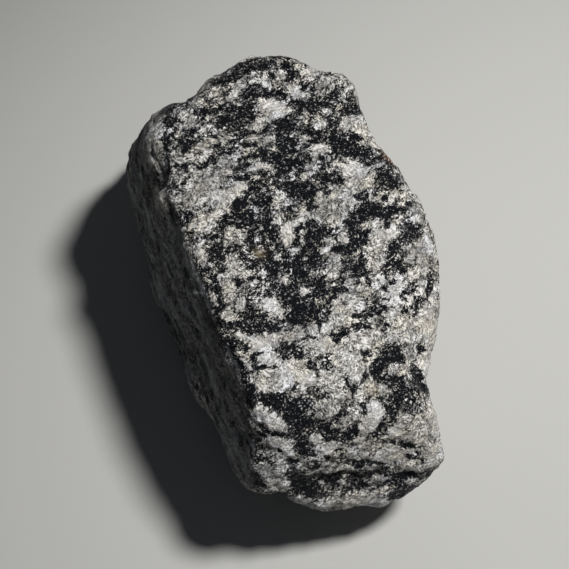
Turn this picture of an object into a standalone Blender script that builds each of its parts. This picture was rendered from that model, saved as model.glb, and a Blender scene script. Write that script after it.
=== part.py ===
"""A hand-sized block of granodiorite: one stone with a broad bright top, a steep left flank and a
broken front, worn round at its edges and resting on a small flat spot.

The stone starts as a blank: a prism with the stone's own outline, leaning back a little. Planes then
dress it, as a mason would: each broken face takes off what stands beyond it and leaves a worn edge.
Knobs and hollows follow, then a coat of small lumps, and last the flat spot under it.

Lengths are in millimetres and angles in degrees until the mesh is written in metres.
"""

import math

import bmesh
import bpy
import numpy as np

MM = 0.001

# The frame: +Z is up and the flat spot is at z = 0. The stone is worked out with its front towards -Y,
# and TURN then lays its long side along +Y.
CENTRE = np.array([-1.0, 0.0, 22.0])  # every surface point is seen from here
LEAN = 20.0  # how far the blank's axis leans towards the front
TURN = -12.0

# The mesh: each side of a cube cut into this many squares, then blown up to the stone.
SQUARES = 28
STRETCH = (0.92, 1.22, 0.86)  # spreads the corners evenly over a long, low stone
NODE_NAME = "granodiorite_stone"

# The outline of the blank, seen along its axis: (across, up the slope), from the right, anticlockwise.
OUTLINE = [
    (32.4, -1.5), (32.6, 7.8), (30.2, 14.6), (27.2, 20.2), (23.0, 25.6), (20.6, 27.4), (18.0, 31.6),
    (16.0, 36.6), (14.4, 41.0), (11.0, 43.0), (7.2, 44.4), (4.6, 46.2), (-2.0, 47.0), (-6.4, 46.2),
    (-10.9, 44.0), (-15.2, 42.4), (-18.4, 38.6), (-22.8, 37.0), (-27.3, 33.6), (-31.0, 29.0),
    (-31.8, 23.8), (-31.7, 17.0), (-28.8, 8.4), (-27.0, -1.0), (-24.6, -7.2), (-23.8, -15.4),
    (-22.2, -22.0), (-15.6, -25.6), (-12.2, -30.0), (-10.2, -36.2), (-7.6, -40.0), (-3.4, -41.6),
    (1.2, -42.5), (4.9, -44.6), (9.2, -45.6), (14.6, -44.7), (20.6, -44.7), (25.0, -43.2),
    (30.9, -40.0), (33.1, -34.8), (31.5, -28.6), (29.6, -22.4), (29.8, -15.6), (31.0, -9.0),
]

# The dressing: (name, a point on the face, bearing and slope of the face, how wide its worn edge is).
# A bearing of 0 faces +X and 90 faces +Y. A slope of 0 faces up, 90 sideways and 180 down.
FACES = [
    ("top", (-10.0, 0.0, 42.4), -8, 7, 3.0),
    ("top_right", (24.0, 2.0, 34.5), -8, 24, 6.0),
    ("top_back", (-6.0, 38.0, 42.5), 85, 14, 6.0),
    ("top_front", (12.0, -30.0, 37.8), -40, 18, 5.0),
    ("brow", (12.0, -41.0, 29.0), -68, 35, 4.0),
    ("left_flank", (-15.6, -7.8, 42.4), 202, 71, 3.0),
    ("left_flank_back", (-26.2, 20.0, 42.2), 178, 60, 6.5),
    ("left_flank_foot", (-14.2, -33.6, 18.0), 200, 79, 2.5),
    ("front_left", (-5.0, -44.0, 28.0), 258, 50, 3.0),
    ("front", (12.0, -48.9, 14.0), 290, 56, 3.0),
    ("front_right", (32.2, -41.4, 14.0), 305, 58, 4.0),
    ("back", (-2.0, 46.5, 34.0), 88, 98, 4.0),
    ("under_front", (12.0, -48.0, 12.5), 270, 132, 3.0),
    ("under_front_left", (-7.0, -47.0, 21.0), 238, 120, 3.0),
    ("under_right", (31.5, 0.0, 14.0), 0, 122, 5.0),
    ("under_right_front", (33.0, -37.0, 12.0), 312, 130, 4.0),
    ("under_back", (0.0, 43.0, 14.0), 86, 128, 6.0),
    ("under_left", (-31.0, 14.0, 9.0), 184, 122, 4.0),
    ("under_left_front", (-16.0, -29.0, 12.0), 212, 124, 4.0),
    ("sole_front", (2.0, -26.0, 1.5), 272, 163, 6.0),
    ("sole_back", (0.0, 26.0, 1.5), 88, 161, 6.0),
    ("sole_right", (17.0, 0.0, 1.2), 0, 160, 6.0),
]
FOOT_EDGE = 1.2  # how wide the worn rim of the flat spot is

# Knobs stand proud and hollows go in: (name, middle, half length and half width, bearing of its length
# in the blank's outline, height). Middles are in the outline's own coordinates, on the upper side.
KNOBS = [
    ("corner_knob", (-25.8, 27.0), (5.5, 1.7), 84, 1.3),
    ("ridge_knob", (-22.8, 16.4), (3.0, 1.3), 86, 1.5),
    ("head_lump", (-6.0, 41.0), (9.0, 6.0), 10, 0.6),
    ("head_right_lump", (11.0, 40.5), (5.0, 4.5), 60, 0.8),
    ("flank_bulge", (-18.5, -24.0), (8.0, 3.0), 127, 1.6),
    ("crease_by_knob", (-23.6, 21.6), (5.5, 1.2), 92, -1.3),
    ("crease_under_brow", (17.5, -39.8), (11.5, 2.0), 3, -1.0),
    ("crease_front_left", (-3.0, -31.5), (6.0, 1.5), -25, -0.8),
    ("hollow_right", (24.0, -18.0), (9.0, 5.0), 20, -0.9),
    ("hollow_middle", (3.0, 4.0), (13.0, 6.0), 55, -0.6),
]

# The coat of small lumps: (lump width, lump height, seed) for each size.
LUMPS = [(17.0, 1.3, 11), (8.5, 0.75, 12), (4.6, 0.36, 13)]
LATTICE = 32  # the lump pattern repeats after this many lumps, far beyond the stone

COLOUR = (0.30, 0.30, 0.29)
ROUGHNESS = 0.75


def turned_up(points):
    """Points from the blank's own axes (across, up the slope, along the axis) to the frame's."""
    lean = math.radians(LEAN)
    across, up, along = points.T
    return np.stack([
        across,
        up * math.cos(lean) - along * math.sin(lean),
        up * math.sin(lean) + along * math.cos(lean),
    ], axis=1)


def laid_down(points):
    """The reverse of turned_up."""
    lean = math.radians(LEAN)
    x, y, z = points.T
    return np.stack([
        x,
        y * math.cos(lean) + z * math.sin(lean),
        -y * math.sin(lean) + z * math.cos(lean),
    ], axis=1)


def facing(bearing, slope):
    """The outward direction of a face from its bearing and slope."""
    around, down = math.radians(bearing), math.radians(slope)
    return np.array([
        math.sin(down) * math.cos(around),
        math.sin(down) * math.sin(around),
        math.cos(down),
    ])


def nearer(first, second, edge):
    """The smaller of two distances, rounded over a band of width edge where they are nearly equal."""
    overlap = np.maximum(edge - np.abs(first - second), 0.0)
    return np.minimum(first, second) - overlap**2 / (4.0 * edge)


def sphere_of_squares():
    """A cube mesh cut into squares and blown up, so that its squares cover all directions evenly."""
    mesh = bpy.data.meshes.new(NODE_NAME)
    shape = bmesh.new()
    bmesh.ops.create_cube(shape, size=2.0)
    bmesh.ops.subdivide_edges(shape, edges=shape.edges[:], cuts=SQUARES - 1, use_grid_fill=True)
    bmesh.ops.triangulate(shape, faces=shape.faces[:])
    shape.to_mesh(mesh)
    shape.free()
    corners = np.empty(len(mesh.vertices) * 3, np.float32)
    mesh.vertices.foreach_get("co", corners)
    spread = np.tan(corners.reshape(-1, 3).astype(float) * math.pi / 4.0)
    spread = spread * STRETCH
    return mesh, spread / np.linalg.norm(spread, axis=1, keepdims=True)


def outline_reach(angle):
    """How far the outline is from the blank's axis at each angle: a smooth closed curve through OUTLINE,
    cubic between neighbours, with the slope at each point taken from the points on either side."""
    points = np.array(OUTLINE)
    at = np.unwrap(np.arctan2(points[:, 1], points[:, 0]))
    reach = np.hypot(points[:, 0], points[:, 1])
    at = np.concatenate([at[-2:] - 2 * math.pi, at, at[:3] + 2 * math.pi])
    reach = np.concatenate([reach[-2:], reach, reach[:3]])
    slope = np.gradient(reach, at)
    angle = np.mod(angle - at[1], 2 * math.pi) + at[1]
    left = np.clip(np.searchsorted(at, angle, side="right") - 1, 0, len(at) - 2)
    gap = at[left + 1] - at[left]
    t = (angle - at[left]) / gap
    return (
        reach[left] * (1 + 2 * t) * (1 - t) ** 2
        + slope[left] * gap * t * (1 - t) ** 2
        + reach[left + 1] * t * t * (3 - 2 * t)
        + slope[left + 1] * gap * t * t * (t - 1)
    )


def lumps(points, width, seed):
    """A smooth random height from -1 to 1 at each point, in lumps of the given width: random values on a
    cubic lattice, blended between the eight around each point."""
    values = np.random.default_rng(seed).uniform(-1.0, 1.0, (LATTICE,) * 3)
    place = points / width
    low = np.floor(place).astype(int)
    part = place - low
    part = part * part * (3.0 - 2.0 * part)
    total = np.zeros(len(points))
    for corner in np.ndindex(2, 2, 2):
        weight = np.prod(np.where(corner, part, 1.0 - part), axis=1)
        x, y, z = ((low + corner) % LATTICE).T
        total += weight * values[x, y, z]
    return total


def stone_points(directions):
    """The stone's surface point in each direction from CENTRE: the nearest of the blank's wall and the
    dressed faces, with worn edges, then knobs, hollows and lumps, and the flat spot."""
    in_blank = laid_down(directions)
    sideways = np.hypot(in_blank[:, 0], in_blank[:, 1])
    angle = np.arctan2(in_blank[:, 1], in_blank[:, 0])
    reach = outline_reach(angle) / np.maximum(sideways, 1e-3)
    for _, point, bearing, slope, edge in FACES:
        outward = facing(bearing, slope)
        height = outward @ (np.array(point) - CENTRE)
        along = np.maximum(directions @ outward, 1e-3)
        reach = nearer(reach, height / along, edge)
    surface = directions * reach[:, None]
    across, up, over = laid_down(surface).T
    relief = np.zeros(len(surface))
    for _, middle, (long, wide), bearing, height in KNOBS:
        turn = math.radians(bearing)
        right, above = across - middle[0], up - middle[1]
        length = (right * math.cos(turn) + above * math.sin(turn)) / long
        width = (above * math.cos(turn) - right * math.sin(turn)) / wide
        relief += height * np.exp(-length**2 - width**2) * (over > 0)
    for width, height, seed in LUMPS:
        relief += height * lumps(surface, width, seed)
    surface += directions * relief[:, None] + CENTRE
    # The flat spot: what would reach below z = 0 is flattened, with a narrow worn rim.
    surface[:, 2] = -nearer(-surface[:, 2], np.zeros(len(surface)), FOOT_EDGE)
    return surface


def turned(points):
    """Points turned about +Z by TURN, so that the stone's long side lies along +Y."""
    turn = math.radians(TURN)
    x, y, z = points.T
    return np.stack([
        x * math.cos(turn) - y * math.sin(turn),
        x * math.sin(turn) + y * math.cos(turn),
        z,
    ], axis=1)


def stone_material():
    """Salt-and-pepper grey, matt: the mean of white feldspar, grey quartz and black mica."""
    material = bpy.data.materials.new("granodiorite")
    material.use_nodes = True
    shader = material.node_tree.nodes["Principled BSDF"]
    shader.inputs["Base Color"].default_value = (*COLOUR, 1.0)
    shader.inputs["Roughness"].default_value = ROUGHNESS
    shader.inputs["Metallic"].default_value = 0.0
    return material


def build_stone():
    mesh, directions = sphere_of_squares()
    surface = turned(stone_points(directions)) * MM
    mesh.vertices.foreach_set("co", surface.astype(np.float32).ravel())
    mesh.materials.append(stone_material())
    mesh.update()
    mesh.shade_smooth()
    stone = bpy.data.objects.new(NODE_NAME, mesh)
    bpy.context.scene.collection.objects.link(stone)
    return stone


for old in list(bpy.data.objects):
    bpy.data.objects.remove(old)
build_stone()
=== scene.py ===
# %% [markdown]
# # A granodiorite stone
#
# Granodiorite is what a slow-cooled melt leaves deep in the crust: white feldspar, grey glassy quartz and
# black flakes of biotite, each a few millimetres across. This lesson makes one hand-sized stone of it:
# first its form, then its broken surface, then its three minerals as one procedural material, and last a
# board, a lamp and a camera. The frame holds a plain solid of the stone; the new mesh stands in for it.

import math

import bpy
import numpy as np
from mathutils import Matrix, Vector


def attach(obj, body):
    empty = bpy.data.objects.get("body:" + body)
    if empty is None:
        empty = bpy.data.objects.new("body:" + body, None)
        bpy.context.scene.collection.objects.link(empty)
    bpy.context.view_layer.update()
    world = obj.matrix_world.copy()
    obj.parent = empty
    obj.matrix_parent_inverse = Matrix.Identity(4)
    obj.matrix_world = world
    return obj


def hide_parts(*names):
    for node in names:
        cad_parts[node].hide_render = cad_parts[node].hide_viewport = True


MM = 1000.0  # millimetres to the metre

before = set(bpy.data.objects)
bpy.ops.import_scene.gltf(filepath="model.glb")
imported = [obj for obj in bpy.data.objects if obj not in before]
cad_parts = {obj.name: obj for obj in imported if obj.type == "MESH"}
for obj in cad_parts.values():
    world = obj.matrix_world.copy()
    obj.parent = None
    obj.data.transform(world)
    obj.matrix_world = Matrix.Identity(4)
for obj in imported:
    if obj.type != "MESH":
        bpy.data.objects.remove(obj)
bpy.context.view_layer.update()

# %% [markdown]
# ## The blank
#
# A stone could be sculpted, or scanned, or grown from noise alone. Noise gives a potato, though, and this
# stone was broken: it has faces, edges and a clear outline. So it is made as a mason would make it. A blank
# with the stone's outline leans a little towards the front; planes then dress it, and each leaves a worn
# edge. Every length is in millimetres until the mesh is written.

# %% The blank's own axes
CENTRE = np.array([-1.0, 0.0, 22.0])  # every surface point is seen from here
LEAN = math.radians(20.0)  # how far the blank's axis leans towards the front
TURN = math.radians(-12.0)  # the stone is worked out square to its front, then turned


def laid_down(points):
    """From the frame's axes, before the turn, to the blank's: across, up the slope and along its axis."""
    x, y, z = points.T
    up = y * math.cos(LEAN) + z * math.sin(LEAN)
    along = -y * math.sin(LEAN) + z * math.cos(LEAN)
    return np.stack([x, up, along], axis=1)


def about_z(points, angle):
    """Points turned about +Z."""
    x, y, z = points.T
    return np.stack([
        x * math.cos(angle) - y * math.sin(angle),
        x * math.sin(angle) + y * math.cos(angle),
        z,
    ], axis=1)


# %% The outline of the blank, seen along its axis, from the right and anticlockwise
OUTLINE = [
    (32.4, -1.5), (32.6, 7.8), (30.2, 14.6), (27.2, 20.2), (23.0, 25.6), (20.6, 27.4), (18.0, 31.6),
    (16.0, 36.6), (14.4, 41.0), (11.0, 43.0), (7.2, 44.4), (4.6, 46.2), (-2.0, 47.0), (-6.4, 46.2),
    (-10.9, 44.0), (-15.2, 42.4), (-18.4, 38.6), (-22.8, 37.0), (-27.3, 33.6), (-31.0, 29.0), (-31.8, 23.8),
    (-31.7, 17.0), (-28.8, 8.4), (-27.0, -1.0), (-24.6, -7.2), (-23.8, -15.4), (-22.2, -22.0),
    (-15.6, -25.6), (-12.2, -30.0), (-10.2, -36.2), (-7.6, -40.0), (-3.4, -41.6), (1.2, -42.5),
    (4.9, -44.6), (9.2, -45.6), (14.6, -44.7), (20.6, -44.7), (25.0, -43.2), (30.9, -40.0), (33.1, -34.8),
    (31.5, -28.6), (29.6, -22.4), (29.8, -15.6), (31.0, -9.0),
]


def outline_reach(angle):
    """How far the outline is from the blank's axis at each angle: a smooth closed curve through OUTLINE,
    cubic between neighbours, with the slope at each point taken from the points on either side."""
    points = np.array(OUTLINE)
    at = np.unwrap(np.arctan2(points[:, 1], points[:, 0]))
    reach = np.hypot(points[:, 0], points[:, 1])
    at = np.concatenate([at[-2:] - 2 * math.pi, at, at[:3] + 2 * math.pi])
    reach = np.concatenate([reach[-2:], reach, reach[:3]])
    slope = np.gradient(reach, at)
    angle = np.mod(angle - at[1], 2 * math.pi) + at[1]
    left = np.clip(np.searchsorted(at, angle, side="right") - 1, 0, len(at) - 2)
    gap = at[left + 1] - at[left]
    t = (angle - at[left]) / gap
    return (
        reach[left] * (1 + 2 * t) * (1 - t) ** 2
        + slope[left] * gap * t * (1 - t) ** 2
        + reach[left + 1] * t * t * (3 - 2 * t)
        + slope[left + 1] * gap * t * t * (t - 1)
    )


print("outline, mm across and up:", np.ptp(OUTLINE, axis=0).round(1))

# %% [markdown]
# ## A closed grid
#
# A sphere in rings pinches at its poles. A cube blown up to a ball doesn't: each of its six sides is a plain
# grid in two parameters, u and v, and the tangent of each evens out the squares. The sides share the
# points on their rims, so the skin is closed. Just under two hundred thousand triangles put a point about
# every 0.4 mm, which is finer than the crystals. What is smaller still is left to the material.

# %% The grid of directions
SQUARES = 128  # along each side of the cube
STRETCH = (0.92, 1.22, 0.86)  # spreads the squares evenly over a long, low stone


def cube_grid(squares):
    """The points of a cube's six grids as whole numbers from -squares to squares, with shared rims
    merged, and the quads between them, turned outwards."""
    steps = np.arange(squares + 1) * 2 - squares
    u, v = (grid.ravel() for grid in np.meshgrid(steps, steps, indexing="ij"))
    wall = np.full_like(u, squares)
    first = np.arange(squares * (squares + 1)).reshape(squares, squares + 1)[:, :-1].ravel()
    quad = np.stack([first, first + squares + 1, first + squares + 2, first + 1], axis=1)
    corners, quads = [], []
    for axis in range(3):
        for sign in (1, -1):
            side = np.stack([wall * sign, u, v * sign], axis=1)
            corners.append(np.roll(side, axis, axis=1))
            quads.append(quad + len(quads) * len(u))
    corners, merged = np.unique(np.concatenate(corners), axis=0, return_inverse=True)
    return corners, merged.ravel()[np.concatenate(quads)]


corners, quads = cube_grid(SQUARES)
directions = np.tan(corners / SQUARES * math.pi / 4.0) * STRETCH
directions /= np.linalg.norm(directions, axis=1, keepdims=True)
print(len(directions), "directions,", len(quads) * 2, "triangles")

# %% [markdown]
# ## Dressing the blank
#
# A plane at a known height above the centre is met by a ray at that height divided by how straight the ray
# runs at it. The stone's surface is the nearest of all the planes and the blank's wall. Taking the plain
# smallest would leave knife edges, so where two are nearly equal a little more is taken off, as wear does.

# %% The faces: name, a point on the face, its bearing and slope, and how wide its worn edge is
# A bearing of 0 faces +X and 90 faces +Y before the turn. A slope of 0 faces up, 90 sideways and 180 down.
FACES = [
    ("top", (-10.0, 0.0, 42.4), -8, 7, 3.0),
    ("top_right", (24.0, 2.0, 34.5), -8, 24, 6.0),
    ("top_back", (-6.0, 38.0, 42.5), 85, 14, 6.0),
    ("top_front", (12.0, -30.0, 37.8), -40, 18, 5.0),
    ("brow", (12.0, -41.0, 29.0), -68, 35, 4.0),
    ("left_flank", (-15.6, -7.8, 42.4), 202, 71, 3.0),
    ("left_flank_back", (-26.2, 20.0, 42.2), 178, 60, 6.5),
    ("left_flank_foot", (-14.2, -33.6, 18.0), 200, 79, 2.5),
    ("front_left", (-5.0, -44.0, 28.0), 258, 50, 3.0),
    ("front", (12.0, -48.9, 14.0), 290, 56, 3.0),
    ("front_right", (32.2, -41.4, 14.0), 305, 58, 4.0),
    ("back", (-2.0, 46.5, 34.0), 88, 98, 4.0),
    ("under_front", (12.0, -48.0, 12.5), 270, 132, 3.0),
    ("under_front_left", (-7.0, -47.0, 21.0), 238, 120, 3.0),
    ("under_right", (31.5, 0.0, 14.0), 0, 122, 5.0),
    ("under_right_front", (33.0, -37.0, 12.0), 312, 130, 4.0),
    ("under_back", (0.0, 43.0, 14.0), 86, 128, 6.0),
    ("under_left", (-31.0, 14.0, 9.0), 184, 122, 4.0),
    ("under_left_front", (-16.0, -29.0, 12.0), 212, 124, 4.0),
    ("sole_front", (2.0, -26.0, 1.5), 272, 163, 6.0),
    ("sole_back", (0.0, 26.0, 1.5), 88, 161, 6.0),
    ("sole_right", (17.0, 0.0, 1.2), 0, 160, 6.0),
]
HARDLY = 1e-3  # a ray that hardly nears a face, or turns from it, is taken to near it by this much


def facing(bearing, slope):
    """The outward direction of a face from its bearing and slope."""
    around, down = math.radians(bearing), math.radians(slope)
    return np.array([
        math.sin(down) * math.cos(around),
        math.sin(down) * math.sin(around),
        math.cos(down),
    ])


def nearer(first, second, edge):
    """The smaller of two distances, less a parabola over the band of width edge where they are equal."""
    overlap = np.maximum(edge - np.abs(first - second), 0.0)
    return np.minimum(first, second) - overlap**2 / (4.0 * edge)


def dressed_reach(directions):
    """How far the dressed blank reaches in each direction from CENTRE."""
    in_blank = laid_down(directions)
    sideways = np.hypot(in_blank[:, 0], in_blank[:, 1])
    angle = np.arctan2(in_blank[:, 1], in_blank[:, 0])
    reach = outline_reach(angle) / np.maximum(sideways, HARDLY)
    for _, point, bearing, slope, edge in FACES:
        outward = facing(bearing, slope)
        height = outward @ (np.array(point) - CENTRE)
        along = np.maximum(directions @ outward, HARDLY)
        reach = nearer(reach, height / along, edge)
    return reach


base = directions * dressed_reach(directions)[:, None]
across, up, over = laid_down(base).T  # over is the height along the blank's axis
print("dressed blank, mm:", np.ptp(base, axis=0).round(1))

# %% [markdown]
# ## Knobs, hollows and lumps
#
# Some forms have a place of their own, such as the knob at the top left corner and the crease under the
# brow: each is a smooth bump in the outline's coordinates. The rest of the unevenness has no
# plan, so it is lattice noise: random heights at the corners of a cubic lattice, blended smoothly in between.

# %% Knobs and hollows: name, middle, half length and half width, bearing of the length, height
KNOBS = [
    ("corner_knob", (-25.8, 27.0), (5.5, 1.7), 84, 1.3),
    ("ridge_knob", (-22.8, 16.4), (3.0, 1.3), 86, 1.5),
    ("head_lump", (-6.0, 41.0), (9.0, 6.0), 10, 0.6),
    ("head_right_lump", (11.0, 40.5), (5.0, 4.5), 60, 0.8),
    ("flank_bulge", (-18.5, -24.0), (8.0, 3.0), 127, 1.6),
    ("crease_by_knob", (-23.6, 21.6), (5.5, 1.2), 92, -1.3),
    ("crease_under_brow", (17.5, -39.8), (11.5, 2.0), 3, -1.0),
    ("crease_front_left", (-3.0, -31.5), (6.0, 1.5), -25, -0.8),
    ("hollow_right", (24.0, -18.0), (9.0, 5.0), 20, -0.9),
    ("hollow_middle", (3.0, 4.0), (13.0, 6.0), 55, -0.6),
]


def in_ellipse(middle, half_sizes, bearing):
    """How far each point is from an ellipse's middle in the outline's coordinates, where 1 is its rim."""
    turn = math.radians(bearing)
    right, above = across - middle[0], up - middle[1]
    length = (right * math.cos(turn) + above * math.sin(turn)) / half_sizes[0]
    width = (above * math.cos(turn) - right * math.sin(turn)) / half_sizes[1]
    return np.hypot(length, width)


relief = np.zeros(len(base))
upper = over > 0  # the knobs and hollows are on the upper side alone
for _, middle, half_sizes, bearing, height in KNOBS:
    relief += height * np.exp(-in_ellipse(middle, half_sizes, bearing) ** 2) * upper
print("knobs and hollows, mm:", relief.min().round(2), "to", relief.max().round(2))

# %% Lumps: width, height, seed
LUMPS = [(17.0, 1.3, 11), (8.5, 0.75, 12), (4.6, 0.36, 13)]
LATTICE = 32  # the pattern repeats after this many lumps, far enough for no repeat to show


def lumps(points, width, seed):
    """A smooth random height from -1 to 1: lattice values blended between the eight around each point."""
    values = np.random.default_rng(seed).uniform(-1.0, 1.0, (LATTICE,) * 3)
    place = points / width
    low = np.floor(place).astype(int)
    part = place - low
    part = part * part * (3.0 - 2.0 * part)
    total = np.zeros(len(points))
    for corner in np.ndindex(2, 2, 2):
        weight = np.prod(np.where(corner, part, 1.0 - part), axis=1)
        x, y, z = ((low + corner) % LATTICE).T
        total += weight * values[x, y, z]
    return total


for width, height, seed in LUMPS:
    relief += height * lumps(base, width, seed)
print("with the lumps, mm:", relief.min().round(2), "to", relief.max().round(2))
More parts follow.
